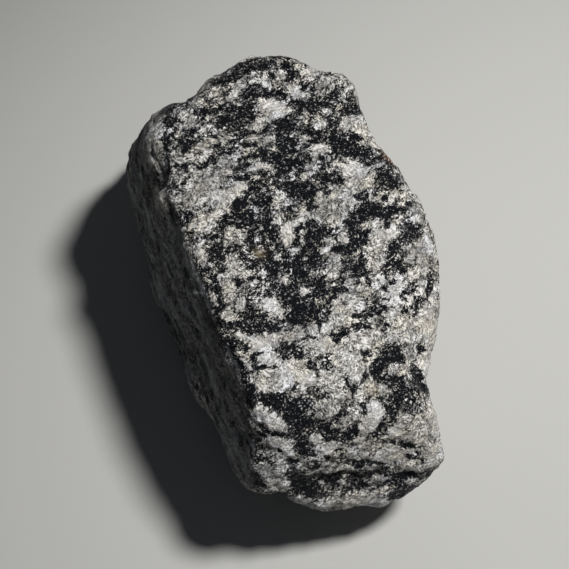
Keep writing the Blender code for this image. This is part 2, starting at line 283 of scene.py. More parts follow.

# %% [markdown]
# ## Where the minerals lie
#
# The crystals aren't spread evenly. Biotite gathers in clots and bands, and feldspar stands in white and
# cream blocks between them. Noise alone would give the right grain but no composition, so the main clots
# and blocks are laid out as ellipses, as a painter blocks in a picture. Each leaves its mark on the
# points as a soft field, which the material's finer patterns fray into crystals afterwards. Thin cracks
# filled with biotite go over the rest, and a few spots are stained. Every list is in strips 4 mm high, from
# the head of the stone down to its front, and each strip runs from left to right.

# %% Biotite: middle across and up, half length, half width, bearing of the length
BIOTITE_CLOTS = [
    (0.0, 46.8, 2.5, 0.5, 0), (0.0, 46.5, 1.5, 0.4, 0), (-13.0, 42.3, 1.0, 0.8, 0),
    (-7.5, 44.3, 3.0, 1.2, 25), (-3.0, 45.0, 1.8, 0.8, 5), (-1.5, 42.6, 1.0, 0.7, 0),
    (1.2, 44.6, 1.2, 0.4, 10), (3.0, 43.0, 1.6, 0.9, -30), (-14.7, 38.3, 1.0, 0.8, 0),
    (-10.5, 41.5, 2.2, 1.2, 10), (-7.3, 38.9, 0.8, 0.5, 0), (-5.2, 38.7, 1.6, 0.6, 70),
    (-2.0, 39.7, 3.0, 0.6, -5), (0.7, 40.3, 1.0, 0.5, -10), (1.5, 39.0, 1.5, 0.6, -10),
    (6.8, 39.5, 0.5, 1.0, 0), (11.0, 38.3, 1.2, 1.0, 0), (-22.5, 35.0, 1.5, 0.8, 20),
    (-20.0, 37.3, 2.5, 0.5, 20), (-14.5, 35.3, 2.4, 0.7, 5), (-8.5, 35.0, 3.2, 1.0, -15),
    (-6.0, 37.3, 1.8, 0.5, 95), (2.3, 34.8, 2.0, 0.5, 20), (5.0, 37.3, 3.5, 0.9, -3),
    (6.8, 35.2, 0.8, 0.6, 0), (9.2, 36.5, 1.5, 0.4, 0), (14.5, 35.2, 2.2, 1.0, 5),
    (-21.8, 31.5, 0.6, 0.4, 0), (-21.5, 33.2, 1.3, 0.5, 0), (-18.5, 30.3, 1.0, 0.6, 60),
    (-17.5, 31.0, 1.0, 0.5, 20), (-14.5, 30.6, 0.8, 0.4, 0), (-12.0, 32.2, 1.2, 0.5, 0),
    (-10.5, 33.0, 2.5, 0.8, 0), (-9.6, 31.6, 1.2, 0.5, 0), (-7.5, 32.5, 1.8, 0.8, 20),
    (-5.4, 33.2, 0.8, 0.8, 0), (-2.7, 31.3, 1.5, 0.5, 40), (0.5, 32.0, 2.5, 1.2, 90),
    (2.7, 32.0, 1.5, 0.7, -30), (5.5, 30.7, 2.0, 0.5, 25), (9.9, 33.2, 0.5, 1.2, 0),
    (11.5, 33.0, 0.9, 0.8, 0), (11.9, 31.9, 0.6, 0.6, 0), (16.6, 30.2, 0.5, 0.5, 0),
    (-22.5, 29.0, 0.7, 1.0, 0), (-18.3, 27.3, 1.0, 1.0, 0), (-17.5, 28.5, 2.0, 0.6, 0),
    (-12.4, 29.4, 1.0, 0.5, 0), (-12.3, 27.3, 1.6, 0.7, 0), (-9.2, 28.3, 1.2, 0.6, 20),
    (-6.5, 30.0, 2.5, 0.5, 0), (-5.5, 27.2, 1.5, 0.6, -10), (-1.5, 27.3, 1.2, 0.5, 20),
    (2.0, 27.8, 1.5, 1.3, 0), (5.9, 27.5, 1.5, 0.3, 40), (7.3, 29.7, 2.0, 0.5, 15),
    (9.5, 28.6, 1.0, 1.3, 0), (11.0, 27.0, 0.8, 0.8, 0), (12.5, 28.3, 2.2, 0.9, -25),
    (13.0, 29.7, 4.0, 0.8, -5), (16.0, 27.3, 4.0, 0.8, -25), (-22.6, 24.5, 3.5, 0.5, 92),
    (-19.8, 23.6, 1.0, 0.5, 0), (-15.3, 23.3, 2.0, 0.4, 15), (-13.2, 25.0, 1.0, 0.5, 0),
    (-12.8, 23.8, 1.3, 0.5, -40), (-8.0, 25.8, 0.8, 0.4, 0), (-5.5, 24.8, 2.0, 0.7, 0),
    (-3.0, 24.0, 1.4, 0.6, 0), (-1.5, 25.3, 1.5, 0.8, 0), (-0.3, 23.8, 0.8, 0.8, 0),
    (1.0, 25.9, 2.0, 0.6, 0), (1.0, 22.2, 1.2, 0.5, 0), (2.6, 23.5, 2.3, 1.3, 0), (5.4, 23.7, 0.8, 0.4, 0),
    (8.5, 24.5, 1.0, 0.4, 0), (9.6, 22.9, 0.5, 0.5, 0), (12.5, 26.0, 1.5, 1.0, 0),
    (15.0, 25.9, 2.2, 0.7, -10), (16.8, 24.4, 1.2, 0.5, -10), (17.0, 24.2, 1.0, 0.4, -10),
    (17.9, 22.3, 0.5, 0.25, 0), (20.5, 25.3, 0.8, 0.5, 0), (22.3, 24.0, 1.0, 0.5, 90),
    (-21.3, 19.8, 0.6, 0.8, 0), (-18.8, 20.0, 0.5, 0.7, 0), (-11.3, 19.0, 0.7, 0.5, 0),
    (-9.0, 20.9, 1.2, 0.5, 0), (-6.5, 20.9, 0.8, 0.6, 0), (-5.0, 19.8, 1.5, 0.4, 0),
    (-3.2, 21.3, 0.8, 0.5, 0), (0.5, 21.0, 1.0, 0.4, 0), (2.8, 19.0, 3.6, 0.8, -3),
    (4.4, 21.9, 0.8, 0.8, 0), (7.2, 18.6, 1.4, 0.6, 20), (8.2, 20.3, 1.6, 1.0, 0),
    (11.2, 21.8, 1.2, 0.5, 0), (11.2, 21.2, 1.5, 0.5, -10), (21.0, 19.2, 2.0, 0.4, 0),
    (21.5, 21.0, 2.0, 2.0, 0), (23.5, 19.8, 1.2, 0.8, -30), (-22.0, 18.0, 2.0, 0.5, 80),
    (-13.8, 14.5, 0.5, 0.5, 0), (-7.8, 15.0, 2.5, 1.6, 90), (-5.5, 17.8, 2.0, 1.0, 35),
    (-3.8, 15.7, 1.5, 0.7, -20), (-2.5, 16.8, 1.5, 1.2, 0), (2.6, 15.2, 0.7, 0.3, 0),
    (4.0, 17.2, 2.4, 1.0, 0), (5.8, 15.9, 1.2, 0.3, 30), (14.2, 14.1, 0.6, 0.7, 0),
    (15.4, 17.2, 0.9, 0.5, 110), (17.0, 17.5, 1.6, 0.8, -25), (17.0, 15.0, 1.4, 1.1, 0),
    (18.1, 16.8, 1.0, 0.4, -40), (20.5, 14.7, 2.0, 1.0, 0), (23.3, 15.2, 1.4, 0.7, 0),
    (26.4, 16.3, 0.7, 0.6, 0), (-20.0, 13.0, 2.0, 0.6, -55), (-11.5, 11.0, 1.0, 0.7, 0),
    (-11.0, 13.0, 1.2, 0.9, 0), (-10.3, 12.0, 0.9, 0.7, 0), (-8.5, 12.8, 1.2, 0.5, 20),
    (-6.2, 13.5, 0.8, 0.8, 0), (-5.8, 12.3, 1.0, 0.6, 70), (-2.3, 11.7, 1.1, 1.5, 0),
    (2.0, 13.8, 0.9, 1.3, 100), (4.4, 11.3, 0.5, 0.3, 0), (6.9, 11.3, 0.8, 0.8, 0),
    (8.9, 10.5, 0.9, 1.0, 0), (10.0, 11.4, 0.4, 0.8, 0), (13.6, 12.1, 0.8, 0.9, 0),
    (14.6, 10.2, 0.8, 1.2, 0), (15.3, 13.2, 1.3, 1.3, 0), (19.5, 14.0, 2.0, 0.7, -10),
    (21.7, 12.3, 0.9, 0.4, 0), (27.0, 11.3, 2.2, 1.4, 0), (-17.0, 9.2, 1.8, 0.7, -65),
    (-14.6, 9.4, 1.8, 0.5, 0), (-13.4, 8.6, 0.8, 0.8, 0), (-11.9, 9.5, 0.8, 0.6, 0),
    (-1.0, 10.0, 1.2, 0.8, 90), (0.1, 7.6, 0.9, 0.7, 0), (3.1, 8.2, 0.8, 0.5, 0), (3.5, 9.9, 1.0, 0.6, 100),
    (6.8, 10.0, 2.0, 1.0, 90), (6.9, 9.1, 0.9, 1.0, 0), (12.2, 7.2, 2.0, 0.9, 0), (14.2, 7.2, 0.6, 0.8, 0),
    (15.5, 9.8, 2.0, 1.9, 0), (16.1, 8.6, 1.2, 0.6, 0), (16.7, 10.0, 0.8, 1.6, 0), (23.0, 7.3, 1.6, 1.3, 0),
    (-12.7, 6.0, 1.8, 1.2, 90), (-11.5, 3.6, 0.8, 0.9, 0), (-5.0, 4.2, 1.3, 0.8, 0),
    (-1.7, 6.0, 1.2, 0.8, 0), (-1.2, 3.5, 2.0, 1.3, 90), (1.3, 6.0, 0.8, 0.6, 0), (2.0, 3.8, 1.4, 0.8, 0),
    (3.7, 2.8, 1.2, 0.8, 0), (5.5, 5.0, 3.5, 3.2, 90), (16.0, 4.0, 2.0, 1.7, 0), (17.0, 2.3, 1.6, 0.6, 15),
    (21.8, 2.3, 1.3, 0.8, 0), (23.2, 4.3, 1.8, 1.6, 90), (24.3, 2.3, 0.6, 0.5, 0),
    (30.5, 2.5, 2.0, 0.6, 80), (-15.0, 1.5, 3.0, 0.7, -68), (-12.4, -0.5, 1.5, 0.5, 95),
    (-7.9, 0.3, 0.9, 0.5, 110), (-7.6, -1.8, 0.6, 0.6, 0), (-5.5, 1.3, 0.8, 0.3, 0),
    (-2.3, 2.0, 0.6, 0.5, 0), (0.0, -1.0, 2.0, 1.2, 0), (3.5, 0.0, 2.0, 2.0, 0), (6.8, 0.3, 1.2, 0.6, 0),
    (8.0, -0.5, 1.0, 1.6, 0), (9.0, -1.6, 0.8, 0.6, 0), (12.0, -1.0, 2.0, 0.9, 0), (12.2, 0.3, 0.9, 0.6, 0),
    (12.7, 2.0, 0.7, 0.9, 0), (21.2, -1.0, 0.8, 0.3, -40), (29.4, -1.8, 1.3, 0.4, 90),
    (-13.6, -4.0, 2.5, 0.7, -70), (-11.0, -4.0, 1.8, 1.0, 0), (-8.5, -4.5, 1.2, 0.3, 90),
    (-5.6, -4.2, 1.5, 0.4, -60), (0.7, -4.3, 0.5, 0.7, 0), (3.0, -3.0, 2.0, 1.6, 90),
    (6.0, -5.3, 2.6, 2.4, 0), (7.2, -2.0, 1.0, 0.8, 0), (10.0, -4.5, 2.0, 0.5, 90),
    (20.0, -5.8, 0.8, 0.5, 0), (21.2, -4.6, 0.8, 0.4, -30), (21.3, -2.9, 0.8, 0.3, 0),
    (27.6, -4.0, 1.4, 0.9, 60), (-11.5, -9.5, 2.5, 0.8, -65), (-9.0, -7.7, 1.0, 0.6, 0),
    (-5.8, -6.0, 1.3, 0.5, -10), (-5.0, -8.3, 5.0, 1.2, -5), (-3.5, -6.2, 1.3, 0.4, 0),
    (-1.2, -8.6, 0.8, 0.7, 0), (-0.6, -7.0, 0.5, 0.5, 0), (2.6, -6.5, 3.0, 1.5, 0),
    (5.0, -9.0, 1.3, 0.7, 90), (8.0, -8.3, 0.3, 0.7, 0), (16.0, -8.7, 1.5, 0.8, 0),
    (17.2, -8.8, 0.8, 0.6, 0), (17.5, -6.0, 3.0, 0.8, 10), (22.3, -9.1, 0.8, 0.6, 0),
    (23.5, -7.0, 0.4, 0.4, 0), (24.7, -6.0, 0.7, 0.4, 60), (26.8, -6.5, 0.8, 0.3, 80),
    (28.8, -9.6, 0.3, 0.3, 0), (-9.0, -10.7, 1.2, 0.8, 0), (-9.0, -13.5, 2.5, 0.8, -65),
    (-7.5, -11.5, 1.2, 1.0, 90), (-5.9, -12.0, 0.6, 0.8, 0), (2.0, -13.0, 2.2, 1.2, 0),
    (2.2, -12.2, 2.6, 0.8, 0), (3.8, -13.7, 0.7, 0.6, 0), (11.3, -11.2, 1.0, 0.6, 90),
    (12.1, -11.2, 0.4, 0.8, 0), (12.5, -10.2, 2.5, 0.7, 0), (23.3, -13.5, 3.0, 1.9, 0),
    (28.6, -13.4, 1.0, 0.6, -20), (-4.7, -14.5, 1.2, 0.8, 90), (-2.8, -15.8, 1.0, 0.3, 0),
    (6.5, -15.4, 1.2, 0.5, -10), (8.6, -15.8, 0.8, 0.5, 0), (9.5, -16.5, 1.0, 0.7, 0),
    (9.9, -14.5, 1.2, 0.4, 90), (19.6, -17.0, 2.0, 1.2, 90), (21.5, -16.8, 0.6, 1.0, 0),
    (25.2, -15.3, 1.2, 0.7, 0), (27.8, -17.8, 1.0, 1.0, 0), (-6.6, -18.5, 2.5, 0.7, -75),
    (7.2, -20.8, 1.2, 1.0, 0), (13.3, -19.0, 1.2, 0.8, 90), (14.6, -21.0, 1.2, 0.5, 70),
    (17.0, -18.8, 1.2, 0.3, 60), (22.5, -19.3, 3.0, 1.0, 0), (27.0, -20.5, 1.2, 0.7, 0),
    (28.0, -19.3, 0.8, 1.0, 0), (29.3, -21.0, 0.8, 0.7, 0), (-6.3, -23.5, 2.0, 0.5, -90),
    (-2.0, -22.0, 1.0, 0.6, 0), (0.8, -22.2, 3.0, 0.6, 0), (1.5, -22.9, 4.0, 1.4, -3),
    (4.0, -25.0, 2.5, 0.8, 0), (4.3, -23.3, 1.2, 0.5, -20), (7.2, -25.9, 1.6, 0.5, -30),
    (8.4, -22.0, 1.4, 0.5, 0), (20.8, -23.7, 1.0, 0.5, -30), (23.0, -22.2, 1.5, 1.5, 0),
    (25.0, -22.5, 3.5, 1.8, 0), (25.4, -24.6, 0.6, 0.7, 0), (27.0, -24.0, 1.5, 1.2, 90),
    (-3.3, -29.0, 2.0, 0.6, -30), (-1.8, -27.2, 2.2, 0.5, -30), (3.5, -26.0, 3.0, 1.2, 0),
    (4.0, -28.0, 2.2, 1.5, 0), (10.0, -28.6, 1.6, 1.1, 0), (14.0, -29.0, 2.0, 1.2, 0),
    (16.5, -29.7, 0.5, 0.4, 0), (18.0, -29.5, 2.0, 0.9, 20), (20.3, -27.8, 1.5, 0.6, 0),
    (22.0, -26.3, 1.5, 1.2, 90), (25.2, -28.9, 0.4, 0.8, 0), (-6.5, -31.0, 3.0, 1.0, -25),
    (-0.2, -31.5, 0.8, 0.4, -40), (4.5, -31.5, 2.0, 1.5, 90), (6.0, -32.5, 0.8, 0.8, 0),
    (9.8, -33.3, 1.5, 0.5, 0), (12.3, -33.8, 1.5, 0.5, -15), (25.5, -31.6, 3.0, 0.4, -5),
    (26.5, -31.8, 1.5, 0.5, 0), (29.8, -31.0, 1.1, 0.6, 20), (2.0, -37.0, 1.0, 0.6, 0),
    (2.4, -34.0, 1.0, 0.5, 0), (14.5, -35.8, 1.5, 0.8, 0), (16.3, -36.8, 1.2, 0.6, 0),
    (18.0, -35.6, 2.6, 0.5, 0), (21.0, -36.5, 1.2, 0.7, -20), (23.5, -35.8, 0.7, 0.5, 0),
    (28.5, -35.0, 1.0, 0.7, 0), (-4.0, -39.0, 2.0, 0.8, 0), (3.5, -38.5, 2.0, 1.5, 90),
    (4.3, -41.2, 1.8, 0.8, 0), (6.0, -41.0, 3.0, 1.2, 0), (9.0, -40.5, 2.5, 0.6, 10),
    (9.5, -38.4, 2.0, 0.6, 0), (13.0, -41.0, 2.0, 1.0, 0), (15.7, -40.9, 1.2, 0.7, 0),
    # (18.0, -38.6) below is a long thin dark clot along the crease under the brow: partly biotite, partly
    # painted shade in that crease
    (18.0, -38.6, 9.0, 0.9, 0), (18.5, -41.3, 2.5, 0.8, 10), (23.0, -40.6, 1.2, 0.6, 0),
    (24.5, -41.0, 2.0, 1.0, 0), (26.3, -41.5, 2.0, 0.6, 5), (27.0, -38.6, 3.0, 0.6, 5),
    (30.0, -38.5, 1.5, 0.8, 30), (30.2, -38.3, 1.5, 0.5, 20), (0.5, -42.2, 2.5, 0.4, 0),
    (8.0, -42.3, 1.5, 0.6, 0), (22.8, -42.8, 1.2, 0.7, 0), (24.5, -43.5, 2.0, 0.8, 10),
]
BIOTITE_SPECKLES = [
    (8.0, 40.5, 1.2, 0.8, 0), (-17.0, 37.0, 1.0, 1.0, 0), (-7.3, 22.5, 2.2, 1.3, 0),
    (-17.2, 21.3, 1.2, 0.5, 0), (-13.0, 15.5, 0.8, 0.5, 0), (-19.0, 13.8, 2.0, 0.6, -10),
    (-4.0, 11.5, 3.0, 2.5, 0), (-9.0, 7.0, 2.0, 1.2, 0), (17.2, 0.6, 1.5, 0.5, 0),
    (-5.0, -3.0, 3.0, 2.5, 0), (18.8, -2.3, 1.0, 0.5, 0), (13.0, -24.5, 1.5, 1.2, 0),
    (16.8, -23.2, 1.2, 1.0, 0), (23.0, -23.5, 4.5, 2.5, 0), (10.0, -27.0, 5.0, 3.5, 0),
    (26.8, -26.2, 2.0, 0.5, -15), (3.1, -35.2, 1.5, 1.0, 0),
]
print(len(BIOTITE_CLOTS), "clots,", len(BIOTITE_SPECKLES), "speckles")

# %% Feldspar and quartz, in the same terms
WHITE_FELDSPAR = [
    (6.5, 44.0, 1.2, 1.0, 0), (-9.0, 39.5, 2.0, 1.3, 0), (-2.8, 41.2, 1.0, 0.8, 0),
    (4.0, 40.4, 1.8, 1.2, 0), (-1.2, 37.2, 1.4, 0.9, 0), (-1.0, 37.0, 2.3, 2.2, 0),
    (8.5, 26.2, 1.0, 0.6, 0), (-4.7, 23.0, 1.6, 1.1, 0), (14.0, 23.0, 2.3, 2.0, 0),
    (-14.1, 20.2, 1.2, 0.4, 20), (-7.6, 19.2, 1.0, 1.0, 0), (-22.8, 16.8, 2.0, 0.8, 95),
    (-11.5, 17.5, 3.2, 1.2, 5), (15.0, 16.9, 1.3, 1.2, 0), (22.0, 16.8, 0.8, 0.5, 0),
    (-11.5, 14.0, 1.4, 0.6, 0), (1.8, 10.3, 2.2, 1.3, 80), (22.0, 10.2, 2.0, 1.1, 0),
    (27.6, 13.3, 0.8, 0.6, 0), (-15.2, 6.3, 1.8, 0.7, 100), (3.5, 7.2, 0.8, 0.5, 30),
    (8.8, 6.7, 0.9, 0.7, 0), (13.0, 9.1, 1.0, 0.7, 0), (29.5, 8.5, 1.6, 0.6, 90), (-13.0, 3.0, 0.6, 1.0, 0),
    (-0.4, 5.8, 1.0, 0.6, 20), (2.4, 3.5, 1.0, 0.25, 90), (6.6, 2.3, 0.7, 0.6, 0), (-2.8, 2.0, 0.5, 0.8, 0),
    (0.7, 0.8, 1.0, 0.9, 0), (5.2, -1.1, 1.3, 0.9, 0), (23.2, -0.5, 3.0, 1.3, 95),
    (-12.2, -2.5, 1.0, 0.4, 95), (-9.9, -5.7, 0.8, 0.9, 60), (-7.0, -3.3, 1.6, 0.5, 95),
    (-1.0, -4.3, 2.6, 1.6, -50), (-7.2, -9.4, 1.0, 0.8, 0), (8.5, -8.7, 2.0, 1.0, 0),
    (29.8, -8.0, 3.0, 1.0, 90), (-3.6, -10.7, 2.0, 1.6, 0), (-2.3, -13.5, 2.4, 2.1, 0),
    (2.3, -13.9, 0.7, 0.4, 0), (8.3, -11.8, 2.4, 1.0, -5), (14.7, -10.5, 0.7, 0.6, 0),
    (1.5, -16.9, 1.9, 1.8, 80), (29.6, -17.0, 2.0, 0.6, 90), (5.5, -18.5, 1.5, 1.2, 0),
    (15.3, -18.3, 1.6, 0.9, -30), (-3.4, -25.2, 2.6, 0.8, -12), (-3.0, -25.3, 3.2, 1.3, -22),
    (-2.6, -25.4, 2.2, 1.0, -20), (2.7, -22.5, 0.5, 0.5, 0), (18.7, -24.3, 2.0, 0.9, -20),
    (-1.6, -26.0, 2.2, 0.9, -18), (-1.0, -29.6, 1.6, 0.6, -10), (7.0, -29.7, 1.3, 1.0, 0),
    (16.6, -27.0, 2.0, 0.6, 65), (17.8, -26.5, 1.9, 1.2, 60), (18.6, -26.0, 2.4, 0.9, 68),
    (23.6, -29.0, 1.4, 0.7, 0), (30.6, -27.0, 3.0, 0.8, 95), (-1.0, -30.8, 1.2, 0.8, 0),
    (2.0, -32.3, 1.2, 0.5, -45), (9.2, -32.2, 1.8, 1.2, 15), (15.4, -30.0, 0.8, 0.6, 0),
    (22.8, -33.9, 1.8, 0.7, -20), (26.6, -33.0, 1.5, 0.6, 0), (30.8, -33.5, 1.5, 1.0, 90),
    (12.8, -36.9, 2.2, 1.0, 0), (22.4, -35.0, 2.2, 0.9, 0), (26.3, -36.6, 1.6, 0.7, 0),
    (30.4, -35.0, 0.8, 0.8, 0), (-0.6, -39.8, 2.0, 1.0, 0), (8.8, -41.0, 0.6, 0.5, 0),
    (4.6, -43.7, 1.5, 0.7, 0), (16.6, -43.8, 2.6, 0.7, 0), (21.0, -44.3, 2.0, 0.8, 0),
]
CREAM_FELDSPAR = [
    (-13.3, 39.8, 1.2, 1.0, 0), (-16.5, 37.5, 1.2, 1.0, 0), (-18.5, 33.5, 1.5, 1.2, 0),
    (-4.0, 33.0, 2.0, 1.2, 90), (8.4, 31.3, 1.0, 0.9, 90), (14.3, 32.3, 2.5, 1.9, 0),
    (17.0, 31.5, 1.2, 1.0, 0), (-25.0, 29.0, 4.0, 1.0, 95), (-15.5, 27.8, 1.8, 0.8, 0),
    (-14.0, 28.7, 1.1, 0.6, 0), (-10.8, 29.3, 1.2, 0.8, 0), (-0.8, 26.2, 1.3, 0.6, 0),
    (4.0, 29.5, 0.9, 0.6, 0), (7.6, 27.0, 2.0, 1.1, 0), (17.5, 29.0, 1.5, 0.8, 0),
    (-25.3, 25.0, 1.5, 0.9, 90), (-10.0, 25.8, 2.2, 1.0, 0), (9.3, 22.3, 0.9, 0.7, 0),
    (17.0, 20.3, 2.8, 1.5, 0), (24.5, 18.4, 3.2, 0.9, 0), (-22.8, 17.0, 2.5, 0.9, 95),
    (-8.6, 17.2, 1.2, 0.7, 30), (0.0, 17.0, 1.5, 1.5, 0), (18.2, 17.2, 1.2, 0.6, 0),
    (20.0, 17.0, 1.1, 0.7, 0), (-15.0, 12.3, 3.0, 2.0, 30), (-9.0, 10.7, 2.4, 1.6, 0),
    (-0.3, 13.0, 1.0, 0.8, 90), (4.0, 13.5, 2.4, 1.3, 0), (11.0, 12.2, 1.0, 0.7, 0),
    (17.4, 11.4, 1.0, 0.7, 0), (19.5, 11.8, 1.1, 0.6, 0), (23.6, 12.6, 1.2, 0.7, 0),
    (-16.5, 10.0, 1.0, 1.0, 0), (-13.6, 8.2, 0.9, 0.7, 0), (10.0, 8.6, 0.9, 0.6, 0),
    (-9.0, 3.3, 2.3, 1.5, 0), (19.5, 2.3, 0.8, 0.5, 0), (19.6, 5.5, 3.0, 1.8, 85),
    (-10.5, -0.5, 3.2, 1.8, 80), (-13.0, -2.0, 1.2, 0.7, 90), (13.0, -4.5, 3.5, 3.0, 0),
    (12.0, -7.2, 1.8, 1.0, 0), (24.0, -7.5, 2.0, 2.0, 0), (29.8, -6.5, 5.0, 2.2, 90),
    (-6.5, -13.5, 1.5, 1.2, -40), (8.0, -12.3, 3.5, 1.6, -10), (17.5, -10.5, 3.0, 2.0, -10),
    (19.6, -12.4, 1.2, 0.7, 0), (24.0, -11.0, 3.0, 1.5, 0), (4.0, -15.3, 1.5, 1.0, 0),
    (15.0, -14.0, 4.5, 2.2, 0), (15.5, -16.7, 2.5, 1.5, 0), (17.0, -16.6, 1.0, 0.9, 0),
    (23.0, -17.3, 2.0, 1.0, 0), (26.8, -15.0, 0.8, 1.2, 0), (-1.5, -19.0, 2.5, 1.5, 0),
    (2.8, -21.0, 1.2, 0.6, 0), (9.5, -18.8, 2.3, 1.6, 0), (18.0, -20.5, 1.3, 1.2, 0),
    (20.6, -21.4, 1.5, 0.8, 0), (26.4, -18.0, 0.8, 0.9, 0), (26.5, -19.0, 1.2, 1.0, 90),
    (6.4, -24.4, 1.4, 0.5, -10), (6.8, -25.2, 1.4, 0.6, 0), (8.6, -22.9, 1.4, 0.7, 0),
    (13.4, -25.4, 1.4, 0.6, 0), (24.6, -24.2, 1.5, 0.7, 0), (25.8, -25.9, 1.4, 0.7, 0),
    (27.8, -22.4, 0.8, 1.4, 0), (11.8, -26.9, 1.5, 0.6, 0), (12.4, -26.6, 1.8, 0.7, 0),
    (17.0, -28.0, 2.5, 1.2, 75), (24.0, -27.5, 3.0, 2.0, 0), (26.0, -29.5, 4.0, 1.6, 0),
    (29.5, -26.0, 3.0, 1.5, 90), (12.5, -33.0, 3.0, 1.3, -30), (25.0, -30.2, 1.6, 0.5, 0),
    (30.0, -33.0, 2.5, 2.0, 90), (-1.8, -37.2, 0.9, 1.5, 0), (6.5, -36.9, 1.2, 0.6, 0),
    (22.5, -34.0, 2.0, 1.5, 0), (25.0, -36.0, 2.0, 1.0, 0), (27.3, -35.6, 1.5, 0.9, 0),
    (-0.3, -39.0, 1.3, 1.2, 0), (13.2, -40.4, 1.2, 0.8, 0), (15.0, -38.3, 0.8, 0.4, 0),
    (19.8, -39.8, 1.0, 0.6, 0), (22.4, -41.8, 1.8, 0.5, 15), (24.3, -38.0, 1.4, 0.5, 15),
    (27.7, -39.8, 1.8, 0.5, 0), (11.2, -44.3, 2.0, 1.0, 0), (16.0, -42.5, 2.0, 1.5, 0),
    (20.5, -42.0, 1.0, 0.6, 0),
]
GREY_QUARTZ = [
    (0.0, 43.0, 1.0, 0.7, 0), (9.0, 40.3, 1.3, 1.2, 0), (13.5, 41.0, 1.5, 1.2, 0),
    (-1.6, 27.9, 1.6, 0.9, 0), (6.0, 23.0, 2.0, 0.8, 60), (18.0, 23.3, 1.8, 1.0, 0),
    (-14.0, 20.5, 5.5, 3.0, 35), (-12.6, 20.4, 1.2, 0.8, 0), (11.0, 17.0, 3.5, 3.0, 50),
    (28.0, 15.5, 1.5, 1.0, 0), (9.0, 14.0, 3.0, 1.5, 0), (16.0, 11.0, 0.8, 0.6, 0),
    (10.8, 4.3, 2.3, 2.2, 0), (15.5, 5.2, 0.7, 0.5, 0), (27.8, 5.5, 3.2, 2.3, 90), (13.8, 1.7, 1.2, 0.9, 0),
    (14.0, -1.7, 3.0, 1.2, 0), (-9.5, -5.0, 1.5, 0.8, 70), (-7.5, -4.5, 2.0, 1.0, 80),
    (3.0, -9.2, 4.0, 1.6, 0), (27.3, -14.3, 2.0, 0.9, 90), (20.9, -21.5, 1.8, 0.8, 90),
    (8.5, -24.5, 2.2, 2.0, 0), (13.2, -22.4, 2.8, 1.4, 0), (-5.0, -28.5, 1.2, 1.0, -30),
    (0.5, -28.5, 1.6, 2.2, 0), (16.5, -33.5, 1.5, 1.0, 0), (-2.3, -35.5, 2.6, 2.2, 0),
    (4.5, -34.3, 1.2, 0.6, -35), (8.2, -35.8, 1.5, 1.2, 0), (18.5, -36.6, 1.5, 0.6, 0),
    (20.0, -40.5, 1.8, 1.2, 0), (28.0, -39.0, 1.5, 0.8, 30), (5.0, -43.0, 1.8, 0.9, 0),
]
print(len(WHITE_FELDSPAR) + len(CREAM_FELDSPAR) + len(GREY_QUARTZ), "pale blocks")
